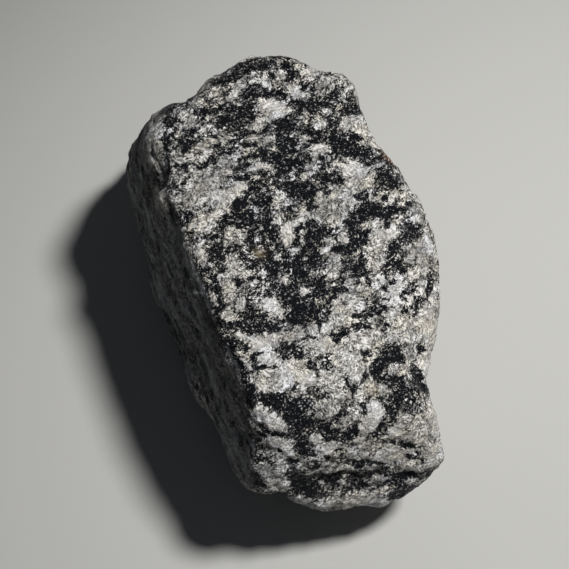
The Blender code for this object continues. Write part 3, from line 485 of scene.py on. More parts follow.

# %% Cracks filled with biotite, stained spots, and ledges that catch light on the split flank, where its painted shade is mostly left off
CRACKS = [
    (-10.6, 39.2, 1.4, 0.6, 20), (-4.6, 40.4, 1.6, 0.6, -20), (-4.0, 40.0, 1.8, 0.9, -15),
    (-3.5, 39.6, 2.2, 0.5, 0), (5.2, 41.0, 1.0, 0.7, 0), (-16.8, 35.2, 1.5, 0.6, 20),
    (4.5, 37.8, 2.2, 0.8, 0), (0.4, 33.4, 0.9, 0.6, 0), (-10.8, 26.2, 1.6, 0.6, 0),
    (7.5, 28.2, 1.6, 0.5, 10), (-7.0, 22.8, 1.8, 0.7, 12), (2.2, 22.8, 1.2, 0.4, 0),
    (11.4, 24.5, 1.6, 0.7, -20), (20.2, 22.6, 0.8, 0.8, 0), (-7.8, 20.6, 1.2, 0.5, 10),
    (0.0, 18.9, 1.0, 0.6, 0), (1.4, 18.4, 1.0, 0.6, 0), (8.2, 19.8, 1.5, 0.8, 0), (8.8, 18.6, 1.2, 0.6, 0),
    (11.5, 20.2, 1.2, 0.5, 0), (20.2, 21.2, 1.0, 0.5, 0), (6.4, 15.2, 1.3, 0.5, 20),
    (15.5, 17.2, 1.0, 0.5, 0), (21.2, 17.3, 1.1, 0.7, 0), (-17.9, 13.6, 1.0, 1.0, -60),
    (-7.7, 11.6, 1.4, 0.7, 20), (2.0, 13.8, 1.1, 0.8, 0), (6.2, 12.4, 1.2, 0.6, 20),
    (21.4, 11.6, 0.9, 0.5, 0), (-16.0, 8.6, 1.2, 0.8, 0), (-5.6, 8.2, 1.3, 0.5, 80),
    (-2.8, 8.0, 1.2, 0.6, 0), (25.2, 9.2, 1.6, 0.6, 10), (27.8, 9.8, 1.0, 0.8, 0),
    (-13.4, 2.2, 1.0, 1.0, 95), (-11.2, 3.8, 1.8, 0.8, 95), (-7.0, 5.4, 1.0, 0.5, 0),
    (-11.8, -1.4, 2.2, 0.8, 105), (-2.2, 1.0, 0.8, 0.7, 0), (13.2, -1.0, 1.0, 0.4, 0),
    (23.0, 0.5, 0.9, 0.5, 20), (25.4, -1.6, 1.4, 0.6, 30), (29.8, -0.5, 0.8, 1.0, 0),
    (-12.2, -4.6, 1.2, 0.4, -70), (-2.7, -2.0, 1.1, 0.5, 0), (11.0, -2.6, 0.9, 0.5, 0),
    (-11.4, -7.2, 1.6, 0.5, -65), (8.2, -8.3, 1.1, 0.4, 95), (9.6, -7.4, 0.8, 0.3, 40),
    (18.2, -6.5, 1.2, 0.4, 10), (22.0, -8.2, 0.9, 0.4, 0), (-9.4, -10.4, 1.8, 0.9, -60),
    (-4.0, -12.8, 1.3, 0.3, 5), (1.6, -12.2, 1.7, 0.9, 0), (6.8, -10.6, 1.6, 0.35, -20),
    (-7.6, -14.6, 1.4, 0.4, -55), (-4.8, -14.4, 1.2, 0.6, 95), (-3.6, -15.7, 1.2, 0.35, 10),
    (-1.2, -15.6, 0.8, 0.3, -20), (6.2, -16.2, 1.4, 0.4, -15), (7.3, -17.2, 1.1, 0.3, 95),
    (8.0, -14.6, 1.0, 0.5, 0), (18.1, -14.1, 1.3, 0.6, -10), (22.0, -15.6, 1.6, 0.6, 0),
    (-5.2, -19.6, 0.6, 0.8, 0), (-4.8, -21.2, 0.8, 1.0, 0), (-2.6, -21.0, 2.2, 0.5, -10),
    (3.2, -19.4, 0.9, 0.5, 60), (-5.3, -22.2, 2.4, 0.6, 92), (3.0, -22.3, 1.0, 0.4, 0),
    (11.0, -25.2, 1.2, 0.6, 40), (16.3, -24.0, 1.2, 0.6, 90), (-3.0, -27.6, 2.0, 0.5, -25),
    (0.3, -28.2, 1.2, 0.6, -20), (-4.4, -33.6, 1.0, 0.7, 0), (11.8, -32.6, 1.5, 0.5, -15),
    (27.4, -33.2, 0.9, 0.4, 0), (-4.6, -37.4, 0.7, 1.2, 0), (-2.4, -34.0, 1.2, 0.4, -20),
    (6.3, -34.8, 1.2, 0.5, 0), (6.9, -35.6, 1.0, 0.7, 0), (25.6, -34.0, 1.2, 0.4, -10),
    # (18.4, -38.4) and (19.0, -38.0) below darken the crease under the brow: partly biotite, partly painted
    # shade
    (10.8, -38.8, 0.9, 0.5, 0), (18.4, -38.4, 1.2, 0.6, 0), (19.0, -38.0, 1.2, 0.6, 0),
    (26.2, -38.8, 1.2, 0.5, 0), (8.0, -43.0, 1.8, 0.6, 0),
]
RUST = [(22.3, 25.6, 1.3, 0.6, -35)]
YELLOWED = [(-4.0, 6.3, 1.0, 0.8, 0), (18.8, -21.0, 0.9, 0.7, 0)]
# on these ledges the flank's painted shade is mostly left off, so they show pale, as where light catches
PALE_LEDGES = [
    (-24.0, 27.2, 4.2, 1.0, 93), (-22.8, 16.8, 2.4, 1.0, 95), (-16.8, -22.6, 2.4, 1.3, -60),
]
print(len(CRACKS), "cracks")

# %% The soft fields
RIM_FADE = 12.0  # the layout fades in over the first twelfth, about 5 degrees, above the blank's rim
facing_up = np.clip(laid_down(directions)[:, 2] * RIM_FADE, 0.0, 1.0)


def painted(ellipses):
    """A soft field of ellipses: for each, one over one plus the fourth power of the distance in it, which
    is near 1 well inside, a half on the rim and near 0 beyond. They add up to 1 at most."""
    field = np.zeros(len(base))
    for right, above, length, width, bearing in ellipses:
        field += 1.0 / (1.0 + in_ellipse((right, above), (length, width), bearing) ** 4)
    return np.minimum(field, 1.0) * facing_up


LAYOUT = [  # field, ellipses, what it adds to the biotite
    ("clots", BIOTITE_CLOTS, 1.0),
    ("speckles", BIOTITE_SPECKLES, 0.3),
    ("white", WHITE_FELDSPAR, -1.1),
    ("cream", CREAM_FELDSPAR, -0.74),
    ("quartz", GREY_QUARTZ, -0.66),
]
LEAST_BIOTITE = -1.2  # where blocks overlap it goes no lower, so that noise can still reach it
fields = {name: painted(ellipses) for name, ellipses, _ in LAYOUT}
biotite = sum(weight * fields[name] for name, _, weight in LAYOUT)
biotite = np.clip(biotite, LEAST_BIOTITE, 1.0)
print("fields:", ", ".join(fields))

# %% Cracks over the rest, and lattice noise round the sides and underneath: width, strength, seed
WILD = [(5.5, 1.1, 31), (2.6, 0.9, 32)]
ELSEWHERE = 40.0  # moves to another part of the lattice
wild = sum(strength * lumps(base + ELSEWHERE, width, seed) for width, strength, seed in WILD)
biotite += painted(CRACKS) * (1.0 - biotite) + (1.0 - facing_up) * wild
print("share of the points in biotite:", (biotite > 0).mean().round(2))

# %% [markdown]
# ## The broken surface
#
# A hammer parts the rock along its crystals, so close up the surface is small flat facets at odd angles, with
# the soft biotite worn in and the hard feldspar standing proud. The facets are cells round scattered seeds:
# every cell is a little plane with a tilt of its own, faded out towards its neighbours. Over them go two
# scales of lumps. On the shaded flank the rock is split along its layers, which shows as long low ribs.

# %% Directions that the surface faces
def outward_of(points):
    """The direction each point faces: the cross products of its quads' diagonals, added up."""
    first, second, third, fourth = (points[quads[:, corner]] for corner in range(4))
    crossed = np.cross(third - first, fourth - second)
    total = np.zeros_like(points)
    for corner in range(4):
        for axis in range(3):
            total[:, axis] += np.bincount(quads[:, corner], crossed[:, axis], len(points))
    return total / np.linalg.norm(total, axis=1, keepdims=True)


surface = base + directions * relief[:, None]
outward = outward_of(surface)
print("least outward:", np.sum(outward * directions, axis=1).min().round(2))

# %% Facets: width, height, place in the lattice, seed
FACETS = [(3.4, 0.50, 0.0, 21), (1.7, 0.32, 70.0, 22)]
FACET_FADE = 0.18  # how much of a facet's width it takes to fade out


def facets(points, width, seed):
    """Heights of small tilted planes, about -0.5 to 0.5: in a lattice of cells with one random seed each,
    a point takes the tilt of the nearest seed, less where the second nearest is nearly as close."""
    random = np.random.default_rng(seed)
    seeds = random.uniform(0.0, 1.0, (LATTICE,) * 3 + (3,))
    tilts = random.uniform(-1.0, 1.0, (LATTICE,) * 3 + (3,))
    place = points / width
    cell = np.floor(place).astype(int)
    nearest = np.full(len(points), np.inf)
    second = nearest.copy()
    height = np.zeros(len(points))
    for step in np.ndindex(3, 3, 3):
        at = cell + np.array(step) - 1
        x, y, z = (at % LATTICE).T
        offset = place - (at + seeds[x, y, z])
        distance = np.linalg.norm(offset, axis=1)
        closer = distance < nearest
        second = np.where(closer, nearest, np.minimum(second, distance))
        nearest = np.where(closer, distance, nearest)
        height = np.where(closer, np.sum(offset * tilts[x, y, z], axis=1), height)
    return height * np.clip((second - nearest) / FACET_FADE, 0.0, 1.0)


relief_fine = np.zeros(len(base))
for width, height, shift, seed in FACETS:
    relief_fine += height * facets(base + shift, width, seed)
print("facets, mm:", relief_fine.min().round(2), "to", relief_fine.max().round(2))

# %% Small lumps over the facets, and biotite worn in: width, height, seed
FINE_LUMPS = [(2.3, 0.24, 23), (1.15, 0.13, 24)]
WORN_IN = 0.16  # how far clots lie below the surface and blocks stand above it
for width, height, seed in FINE_LUMPS:
    relief_fine += height * lumps(base, width, seed)
relief_fine -= WORN_IN * np.clip(biotite, -1.0, 1.0)
print("with the small lumps, mm:", relief_fine.min().round(2), "to", relief_fine.max().round(2))

# %% Ribs on the split flank: lumps drawn out along its ridge
RIB_BEARING = math.radians(-75.0)  # the ridge beside the flank runs this way in the outline
RIB_STRETCH = 7.0  # how many times as long as it is wide
RIB_WIDTH = 1.6
RIB_HEIGHT = 0.30
RIB_SEED = 25
FLANK_FROM = 0.375  # the flank begins where the surface faces 22 degrees to the left: the sine of that
LEDGES_CLEAR = 0.8  # how much of the flank's ribs, streaks and painted shade the pale ledges lose
along_ridge = across * math.cos(RIB_BEARING) + up * math.sin(RIB_BEARING)
from_ridge = up * math.cos(RIB_BEARING) - across * math.sin(RIB_BEARING)
rib_place = np.stack([along_ridge / RIB_STRETCH, from_ridge, over], axis=1)
# the flank mask: where the surface turns left, away from the lamp, the material paints shade over the
# crystals
facing_left = np.clip((-outward[:, 0] - FLANK_FROM) / (1.0 - FLANK_FROM), 0.0, 1.0)
flank = facing_left * (1.0 - LEDGES_CLEAR * painted(PALE_LEDGES))
relief_fine += RIB_HEIGHT * flank * lumps(rib_place, RIB_WIDTH, RIB_SEED)
surface = surface + outward * relief_fine[:, None] + CENTRE
print("all the fine relief, mm:", relief_fine.min().round(2), "to", relief_fine.max().round(2))

# %% [markdown]
# ## The foot, and the mesh
#
# The stone has to rest where the solid rests. Whatever would reach below the floor is pressed level, with a
# soft rim, and then the whole stone is turned a little about the upright, as it was laid down. The points and
# quads go into the mesh in one call each, and the fields go with them as attributes for the material.

# %% The foot and the turn
FOOT_EDGE = 1.2
surface[:, 2] = -nearer(-surface[:, 2], np.zeros(len(surface)), FOOT_EDGE)
surface = about_z(surface, TURN)
sides = np.linalg.norm(surface[quads[:, 1]] - surface[quads[:, 0]], axis=1)
print("dressed stone, mm:", surface.min(axis=0).round(1), surface.max(axis=0).round(1))
print("a point every", sides.mean().round(2), "mm")

# %% The stone's mesh
mesh = bpy.data.meshes.new("broken_granodiorite_stone")
mesh.from_pydata(surface / MM, [], quads)
mesh.shade_smooth()
marks = {
    "biotite": biotite,
    "white": fields["white"],
    "cream": fields["cream"],
    "quartz": fields["quartz"],
    "rust": painted(RUST),
    "yellowed": painted(YELLOWED),
    "flank": flank,
}
for name, mark in marks.items():
    mesh.attributes.new(name, "FLOAT", "POINT").data.foreach_set("value", mark.astype(np.float32))
stone = bpy.data.objects.new("broken_granodiorite_stone", mesh)
bpy.context.scene.collection.objects.link(stone)
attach(stone, "root")
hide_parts("granodiorite_stone")
print(len(mesh.vertices), "points,", len(mesh.polygons) * 2, "triangles, valid:", not mesh.validate())

# %% [markdown]
# ## Granodiorite, broken by a hammer
#
# Real name: granodiorite, a coarse igneous rock; finish: a fresh break, neither sawn nor polished. To the eye
# that is sugar and soot: sugary feldspar that scatters nearly all the light, glassier grey quartz, and black
# mica that swallows it, except where one flake happens to face the lamp and glints. A picture wrapped round
# the stone would stretch on its sides. Patterns that fill space don't: they are cut through by the surface,
# as the real crystals are. So every pattern here is a solid one, and its size is given in millimetres.

# %% Colours, and one function that adds a node
def linear(hex_colour):
    """An sRGB hex colour as the linear values that shaders take."""
    parts = [int(hex_colour[place:place + 2], 16) / 255.0 for place in (1, 3, 5)]
    return [part / 12.92 if part <= 0.04045 else ((part + 0.055) / 1.055) ** 2.4 for part in parts] + [1.0]


def add(tree, kind, inputs, output=0, **settings):
    """Adds a node, sets its settings, fills each input by a link or by a value, and returns one output."""
    node = tree.nodes.new("ShaderNode" + kind)
    for name, value in settings.items():
        setattr(node, name, value)
    for name, value in inputs.items():
        if isinstance(value, bpy.types.NodeSocket):
            tree.links.new(value, node.inputs[name])
        else:
            node.inputs[name].default_value = value
    return node.outputs[output] if node.outputs else None


print("a mid grey, #808080, is", round(linear("#808080")[0], 3), "once linear")

# %% [markdown]
# ## Where a pattern is measured from
#
# Object coordinates run in metres from the stone's own origin, so a pattern on them stays put in the stone.
# Times a thousand they are millimetres, and a texture scale of one over a width gives cells of that width.
# Straight rows of crystals would look woven, so a coarse noise first drags every place about a little. Then
# a Mapping node of the type Texture draws the pattern out one way, as the creeping melt did.

# %% Places in millimetres, their drift, and the way that crystals lie
granodiorite = bpy.data.materials.new("broken_granodiorite")
granodiorite.use_nodes = True
rock = granodiorite.node_tree
rock.nodes.clear()

DRIFT = 1.5  # mm, the width of one drift
WANDER = 1.3  # how far the pattern is dragged about, in mm
LINEATION = math.radians(28.0)  # the melt crept as it set: crystals lie along this bearing
CRYSTAL_SHAPE = (1.6, 1.0, 0.85)  # length, width and height

place = add(rock, "TexCoord", {}, "Object")
place = add(rock, "VectorMath", {0: place, 1: (MM,) * 3}, operation="MULTIPLY")
drift = add(rock, "TexNoise", {"Vector": place, "Scale": 1 / DRIFT, "Detail": 2.0}, "Color")
drift = add(rock, "VectorMath", {0: drift, 1: (0.5,) * 3}, operation="SUBTRACT")
wandering = add(rock, "VectorMath", {0: drift, 1: (WANDER,) * 3, 2: place}, operation="MULTIPLY_ADD")
along_grain = add(
    rock, "Mapping", {"Vector": wandering, "Rotation": (0, 0, LINEATION), "Scale": CRYSTAL_SHAPE},
    vector_type="TEXTURE",
)
print("crystals lie at", round(math.degrees(LINEATION)), "degrees and drift by", WANDER, "mm")

# %% [markdown]
# ## Crystals, and the sugar they break into
#
# A melt sets round many seeds at once, and each crystal grows until it meets the next. A Voronoi texture
# fills space in just that way, with one cell round each scattered point. Its colour is three random numbers
# for each cell, which here draw a mineral, a direction and a tint. A broken crystal isn't one smooth plane
# but many small steps, longer one way, and that way is its own: so a finer Voronoi texture is turned by each
# crystal's angle.

# %% Crystals and the borders between them
CRYSTAL = 2.2  # mm
crystals = add(rock, "TexVoronoi", {"Vector": along_grain, "Scale": 1 / CRYSTAL}, "Color")
borders = add(
    rock, "TexVoronoi", {"Vector": along_grain, "Scale": 1 / CRYSTAL}, "Distance",
    feature="DISTANCE_TO_EDGE",
)
crystal_draw, crystal_turn, crystal_tint = (
    add(rock, "SeparateXYZ", {0: crystals}, channel) for channel in range(3)
)
print("crystals:", CRYSTAL, "mm")

# %% Sugary grains
GRAIN = 0.23  # mm; the steps of a real break are a few hundredths, and are drawn as coarse as this to show
GRAIN_SHAPE = (1.4, 1.0, 1.0)  # length, width and height
TURNS_ABOUT = (0.2, -0.3, 1.0)  # nearly upright, so that the length shows from above
own_angle = add(rock, "Math", {0: crystal_turn, 1: math.pi}, operation="MULTIPLY")
own_way = add(rock, "VectorRotate", {"Vector": place, "Axis": TURNS_ABOUT, "Angle": own_angle})
grainy = add(rock, "Mapping", {"Vector": own_way, "Scale": GRAIN_SHAPE}, vector_type="TEXTURE")
sugar = add(rock, "TexVoronoi", {"Vector": grainy, "Scale": 1 / GRAIN}, "Color")
sugar_draw, glint_draw = (add(rock, "SeparateXYZ", {0: sugar}, channel) for channel in range(2))
print("grains:", GRAIN, "mm, about", round(CRYSTAL / GRAIN), "side by side in a crystal")

# %% [markdown]
# ## Where it is biotite
#
# Biotite fills what the other minerals leave: ragged clots, thin seams and single flakes. Drawing each flake
# would never end, and noise alone has no plan. So the field on the points, which knows the plan, is added to
# patterns that know the grain: clumps, flecks, short lines that lie each crystal's own way, seams on the
# crystals' borders, and wisps. A wisp is the thin sheet where a noise passes a half, and it shows as a
# hairline; pale ones and dark ones cross the clots and the blocks. Where the sum is above nothing, it is
# biotite.

# %% The plan, clumps and flecks
CLUMP = 2.0  # mm
FLECK = 0.4  # mm
plan = add(rock, "Attribute", {}, "Fac", attribute_name="biotite")
clumps = add(
    rock, "TexNoise", {"Vector": along_grain, "Scale": 1 / CLUMP, "Detail": 5.0, "Roughness": 0.68}, "Fac",
)
flecks = add(
    rock, "TexNoise", {"Vector": place, "Scale": 1 / FLECK, "Detail": 3.0, "Roughness": 0.75}, "Fac",
)
print("clumps:", CLUMP, "mm, flecks:", FLECK, "mm")

# %% Short lines along each crystal's own way
LINE = 0.45  # mm, the width
LINE_SHAPE = (2.3, 1.0, 1.0)  # length, width and height
sheared = add(rock, "VectorRotate", {"Vector": wandering, "Axis": TURNS_ABOUT, "Angle": own_angle})
sheared = add(rock, "Mapping", {"Vector": sheared, "Scale": LINE_SHAPE}, vector_type="TEXTURE")
lines = add(rock, "TexNoise", {"Vector": sheared, "Scale": 1 / LINE, "Detail": 3.0, "Roughness": 0.6}, "Fac")
print("lines:", LINE, "mm")

# %% Seams on the borders, and wisps
SEAM = 0.14  # how far from a border a seam reaches, against a crystal's width
WISP = 0.8  # mm from wisp to wisp, about
WISP_BAND = 0.025  # how near to a half the noise has to be
seam = add(rock, "MapRange", {"Value": borders, "From Max": SEAM, "To Min": 1.0, "To Max": 0.0})
wisps = add(
    rock, "TexNoise", {"Vector": along_grain, "Scale": 1 / WISP, "Detail": 2.0, "Roughness": 0.55}, "Color",
)
wisps = add(rock, "VectorMath", {0: wisps, 1: (0.5,) * 3}, operation="SUBTRACT")
wisps = add(rock, "VectorMath", {0: wisps}, operation="ABSOLUTE")
pale_wisp, dark_wisp = (
    add(rock, "MapRange", {
        "Value": add(rock, "SeparateXYZ", {0: wisps}, channel),
        "From Max": WISP_BAND, "To Min": 1.0, "To Max": 0.0,
    })
    for channel in range(2)
)
print("wisps:", WISP, "mm apart")

# %% The sum, and a narrow step that keeps every edge crisp
PLAN_WEIGHT = 1.18
BALANCE = -5.4  # takes off what the noises add on average, and sets how much of the stone is black
WEIGHTS = [(clumps, 4.2), (flecks, 3.3), (lines, 2.6), (seam, 0.6), (pale_wisp, -1.0), (dark_wisp, 1.1)]
CRISP = 0.12
darkness = add(rock, "Math", {0: plan, 1: PLAN_WEIGHT, 2: BALANCE}, operation="MULTIPLY_ADD")
for pattern, weight in WEIGHTS:
    darkness = add(rock, "Math", {0: pattern, 1: weight, 2: darkness}, operation="MULTIPLY_ADD")
is_biotite = add(
    rock, "MapRange", {"Value": darkness, "From Min": -CRISP, "From Max": CRISP},
    interpolation_type="SMOOTHSTEP",
)
print("the plan and", len(WEIGHTS), "patterns, added")

# %% [markdown]
# ## Feldspar and quartz
#
# The pale minerals differ little in colour: feldspar is chalky white to cream, quartz a clear grey. What
# makes them look like crystals is light and shade: a bright core, a duller rim, grains that face the light or
# don't, and strokes along the cleavage. A plain colour for each crystal is therefore multiplied by a
# brightness, which is itself several patterns multiplied. In the white blocks, which are single clean
# crystals, the brightness is evened out.

# %% A mineral for each crystal, or the one that the layout puts there
WHITE = linear("#F4F3F1")
CREAM = linear("#DBD9D3")
QUARTZ = linear("#B2B2B0")
CREAM_FROM, QUARTZ_FROM = 0.42, 0.72  # of every hundred crystals 42 are white and 28 quartz
pale = add(rock, "ValToRGB", {0: crystal_draw}, 0)
ramp = pale.node.color_ramp
ramp.interpolation = "CONSTANT"
ramp.elements[0].color = WHITE
ramp.elements[1].position = QUARTZ_FROM
ramp.elements[1].color = QUARTZ
ramp.elements.new(CREAM_FROM).color = CREAM
for mineral, colour in (("white", WHITE), ("cream", CREAM), ("quartz", QUARTZ)):
    share = add(rock, "Attribute", {}, "Fac", attribute_name=mineral)
    pale = add(rock, "Mix", {0: share, 6: pale, 7: colour}, 2, data_type="RGBA")
print(len(ramp.elements), "pale minerals")

# %% Light and shade: a core for each crystal, a tone for each grain, strokes, and a soft mottle
MOTTLE = 1.1  # mm
core = add(rock, "MapRange", {"Value": borders, "From Max": 0.3, "To Min": 0.66, "To Max": 1.15})
grain = add(rock, "MapRange", {"Value": sugar_draw, "From Max": 0.45, "To Min": 0.12, "To Max": 1.4})
stroke = add(
    rock, "MapRange", {"Value": lines, "From Min": 0.45, "From Max": 0.6, "To Min": 1.15, "To Max": 0.42},
)
mottle = add(rock, "TexNoise", {"Vector": along_grain, "Scale": 1 / MOTTLE, "Detail": 3.0}, "Fac")
mottle = add(
    rock, "MapRange", {"Value": mottle, "From Min": 0.32, "From Max": 0.68, "To Min": 0.65, "To Max": 1.2},
)
brightness = core
for tone in (grain, stroke, mottle):
    brightness = add(rock, "Math", {0: brightness, 1: tone}, operation="MULTIPLY")
print("brightness: crystals, grains, lines and a mottle of", MOTTLE, "mm")

# %% Clean blocks, and a tint for each crystal
CLEAN = 0.4  # how much a white block is evened out
CLEAN_BRIGHTNESS = 0.9
COOL = linear("#FAFBFF")
WARM = linear("#FFFBF4")
clean = add(rock, "Attribute", {}, "Fac", attribute_name="white")
clean = add(rock, "MapRange", {"Value": clean, "To Max": CLEAN})
brightness = add(rock, "Mix", {0: clean, 2: brightness, 3: CLEAN_BRIGHTNESS}, 0)
pale = add(
    rock, "Mix", {0: 1.0, 6: pale, 7: brightness}, 2,
    data_type="RGBA", blend_type="MULTIPLY", clamp_result=True,
)
tint = add(rock, "Mix", {0: crystal_tint, 6: COOL, 7: WARM}, 2, data_type="RGBA")
pale = add(rock, "Mix", {0: 1.0, 6: pale, 7: tint}, 2, data_type="RGBA", blend_type="MULTIPLY")
print("nodes so far:", len(rock.nodes))

# %% [markdown]
# ## Biotite and its stains
#
# Fresh biotite is black with a breath of blue. Left one plain black it would read as a hole, so each grain
# is drawn between two blacks, and one in seventeen is a pale grain that pokes through. Where iron has bled
# out, the rock has a rusty or a yellowish spot, which the grain breaks up.

# %% Biotite
BLACK = linear("#030406")
SLATE = linear("#15181E")
POKES_THROUGH = 0.94  # the grains drawn above this
pale_grain = add(rock, "MapRange", {"Value": sugar_draw, "From Min": POKES_THROUGH, "From Max": 1.0})
black = add(rock, "Mix", {0: glint_draw, 6: BLACK, 7: SLATE}, 2, data_type="RGBA")
black = add(rock, "Mix", {0: pale_grain, 6: black, 7: QUARTZ}, 2, data_type="RGBA")
colour = add(rock, "Mix", {0: is_biotite, 6: pale, 7: black}, 2, data_type="RGBA")
print("in the biotite, 1 grain in", round(1.0 / (1.0 - POKES_THROUGH)), "is pale")

# %% A few stained spots: field, colour, and what breaks it up
for stain, shade, break_up in (("rust", "#A8703F", clumps), ("yellowed", "#8C7A58", sugar_draw)):
    share = add(rock, "Attribute", {}, "Fac", attribute_name=stain)
    share = add(rock, "Math", {0: share, 1: break_up}, operation="MULTIPLY")
    colour = add(rock, "Mix", {0: share, 6: colour, 7: linear(shade)}, 2, data_type="RGBA")
print("nodes so far:", len(rock.nodes))

# %% [markdown]
# ## The split flank
#
# The left flank parted along the rock's own layers, so it shows them edge on: dark and pale streaks that run
# with the ridge. They could be carved, but at this width they are more a matter of colour than of form. One
# noise drawn out along the ridge gives them, laid over what is left of the crystals. The flank faces away
# from the lamp, and the streaks are mostly dark: the dark ones are painted shade and the pale ones painted
# light, over the layers' own colour.

# %% Streaks along the layers: the layers' colour with painted shade and light, on the flank that faces away from the lamp
STREAK = 2.4  # mm, the width
# SHADED is painted shade and LIT painted light: the two ends of the streaks on the flank
SHADED, LIT = linear("#14171D"), linear("#B4B7BC")
OVER_CRYSTALS = 0.85  # how far the streaks, with their painted shade and light, cover the crystals
RIDGE_BEARING = RIB_BEARING + math.radians(TURN)
layered = add(
    rock, "Mapping",
    {"Vector": wandering, "Rotation": (0, 0, RIDGE_BEARING), "Scale": (RIB_STRETCH, 1.0, 1.0)},
    vector_type="TEXTURE",
)
streaks = add(
    rock, "TexNoise", {"Vector": layered, "Scale": 1 / STREAK, "Detail": 6.0, "Roughness": 0.62}, "Fac",
)
layer_and_painted_shade = add(rock, "MapRange", {"Value": streaks, "From Min": 0.42, "From Max": 0.66})
layer_and_painted_shade = add(rock, "Mix", {0: layer_and_painted_shade, 6: SHADED, 7: LIT}, 2, data_type="RGBA")
painted_flank_shade = add(rock, "Attribute", {}, "Fac", attribute_name="flank")
painted_flank_shade = add(rock, "Math", {0: painted_flank_shade, 1: OVER_CRYSTALS}, operation="MULTIPLY")
colour = add(rock, "Mix", {0: painted_flank_shade, 6: colour, 7: layer_and_painted_shade}, 2, data_type="RGBA")
print("streaks:", STREAK, "mm")

# %% [markdown]
# ## Grains that glint
#
# A break glitters because each tiny step faces its own way. A bump map alone gives soft slopes instead. So
# each grain's three random numbers tilt the direction that it faces, by one amount all over the grain, and
# it catches the lamp as a whole or not at all. A little bump of grit goes over that, with the biotite lower.
# Roughness also differs from grain to grain.

# %% The tilt of each grain, the grit, and the shader
TILT = 0.9  # against the surface's own direction
GRIT = 0.0005  # metres, the height of the bump
SUNK = -0.5  # biotite, against the height of the grit
facing_way = add(rock, "NewGeometry", {}, "Normal")
tilt = add(rock, "VectorMath", {0: sugar, 1: (0.5,) * 3}, operation="SUBTRACT")
tilt = add(rock, "VectorMath", {0: tilt, 1: (TILT,) * 3, 2: facing_way}, operation="MULTIPLY_ADD")
tilt = add(rock, "VectorMath", {0: tilt}, operation="NORMALIZE")
grit = add(rock, "Math", {0: is_biotite, 1: SUNK, 2: flecks}, operation="MULTIPLY_ADD")
grit = add(rock, "Bump", {"Height": grit, "Distance": GRIT, "Strength": 0.9, "Normal": tilt})
glassy = add(rock, "MapRange", {"Value": glint_draw, "To Min": 0.3, "To Max": 0.6})
broken = add(rock, "BsdfPrincipled", {
    "Base Color": colour, "Roughness": glassy, "IOR": 1.54, "Normal": grit, "Specular IOR Level": 0.1,
})
add(rock, "OutputMaterial", {"Surface": broken})
stone.data.materials.append(granodiorite)
print("granodiorite:", len(rock.nodes), "nodes")

# %% [markdown]
# ## The board, the lamp and the camera
#
# The stone lies on a plain pale board of matte card. One lamp hangs high over it, to the right and a little
# behind. Its size sets how soft the shadow's edge is, and the rim of its beam leaves the far left of the
# board dimmer. The sky gives the shadows only a trace of cool light, so they stay deep.

# %% The board
BOARD = 1.2  # side, in metres
FIBRE = 2.0 / 3.0  # mm; real fibres are far thinner, and are drawn as coarse as this to show at all
board_mesh = bpy.data.meshes.new("board")
rim = np.array([(-1, -1, 0), (1, -1, 0), (1, 1, 0), (-1, 1, 0)]) * BOARD / 2.0
board_mesh.from_pydata(rim, [], [(0, 1, 2, 3)])
board = bpy.data.objects.new("board", board_mesh)
bpy.context.scene.collection.objects.link(board)
card = bpy.data.materials.new("matte_card")
card.use_nodes = True
card_tree = card.node_tree
card_tree.nodes.clear()
fibres = add(card_tree, "TexCoord", {}, "Object")
fibres = add(card_tree, "TexNoise", {"Vector": fibres, "Scale": MM / FIBRE, "Detail": 2.0}, "Fac")
felt = add(card_tree, "Bump", {"Height": fibres, "Distance": 0.00005, "Strength": 0.3})
card_shader = add(card_tree, "BsdfPrincipled", {
    "Base Color": linear("#BDBDBA"), "Roughness": 0.9, "Specular IOR Level": 0.2, "Normal": felt,
})
add(card_tree, "OutputMaterial", {"Surface": card_shader})
board_mesh.materials.append(card)
print("board:", BOARD, "m a side")

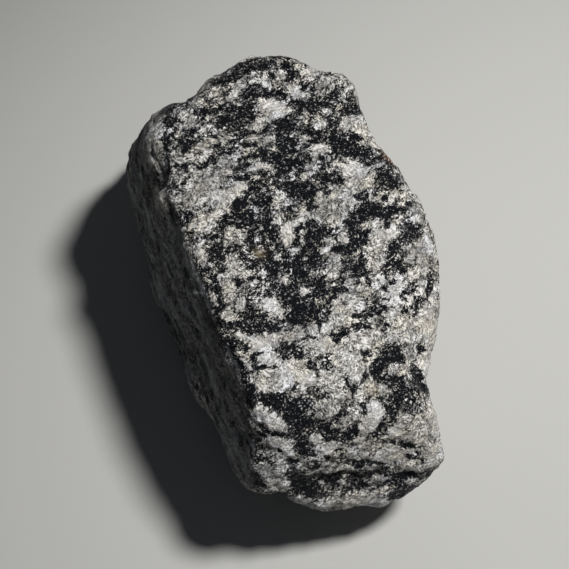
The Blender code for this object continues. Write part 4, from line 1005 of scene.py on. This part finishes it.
# %% The lamp, and a dim sky
TO_LAMP = about_z(np.array([(0.43, 0.28, 1.0)]), TURN)[0]  # right, behind and up, before the turn
LAMP_AWAY = 0.8  # metres
LIT_MIDDLE = Vector((0.045, -0.034, 0.0))  # where the beam's middle falls on the board
lamp_data = bpy.data.lights.new("softbox", "SPOT")
lamp_data.energy = 30.6  # watts
lamp_data.shadow_soft_size = 0.07  # metres, the lamp's radius
lamp_data.spot_size = math.radians(34.0)
lamp_data.spot_blend = 1.0
lamp_data.color = linear("#FFFEFC")[:3]
lamp = bpy.data.objects.new("softbox", lamp_data)
bpy.context.scene.collection.objects.link(lamp)
towards_lamp = Vector(TO_LAMP).normalized()
lamp.location = LIT_MIDDLE + towards_lamp * LAMP_AWAY
lamp.rotation_euler = towards_lamp.to_track_quat("Z", "Y").to_euler()

sky = bpy.data.worlds.new("dim_room")
sky.use_nodes = True
sky.node_tree.nodes["Background"].inputs["Color"].default_value = linear("#DDE4F0")
sky.node_tree.nodes["Background"].inputs["Strength"].default_value = 0.049
bpy.context.scene.world = sky
bpy.context.scene.view_settings.view_transform = "Standard"  # keeps black mica black
print("lamp at", [round(part, 2) for part in lamp.location], "m")

# %% The camera: a long lens, high over the stone and square to its front
LENS = 100.0  # millimetres
SENSOR = 36.0  # millimetres
VIEW_WIDTH = 0.1185  # metres across the picture at the aimed height
CAMERA_AZIMUTH = TURN
CAMERA_ELEVATION = math.radians(70.0)
camera_data = bpy.data.cameras.new("camera")
camera_data.lens = LENS
camera_data.sensor_width = SENSOR
camera_data.clip_start = 0.01
camera = bpy.data.objects.new("camera", camera_data)
bpy.context.scene.collection.objects.link(camera)
bpy.context.scene.camera = camera
backwards = Vector((
    math.sin(CAMERA_AZIMUTH) * math.cos(CAMERA_ELEVATION),
    -math.cos(CAMERA_AZIMUTH) * math.cos(CAMERA_ELEVATION),
    math.sin(CAMERA_ELEVATION),
))
camera.location = Vector((0.0, 0.0, CENTRE[2] / MM)) + backwards * VIEW_WIDTH * LENS / SENSOR
camera.rotation_euler = backwards.to_track_quat("Z", "Y").to_euler()
print("camera", round(VIEW_WIDTH * LENS / SENSOR, 3), "m away")
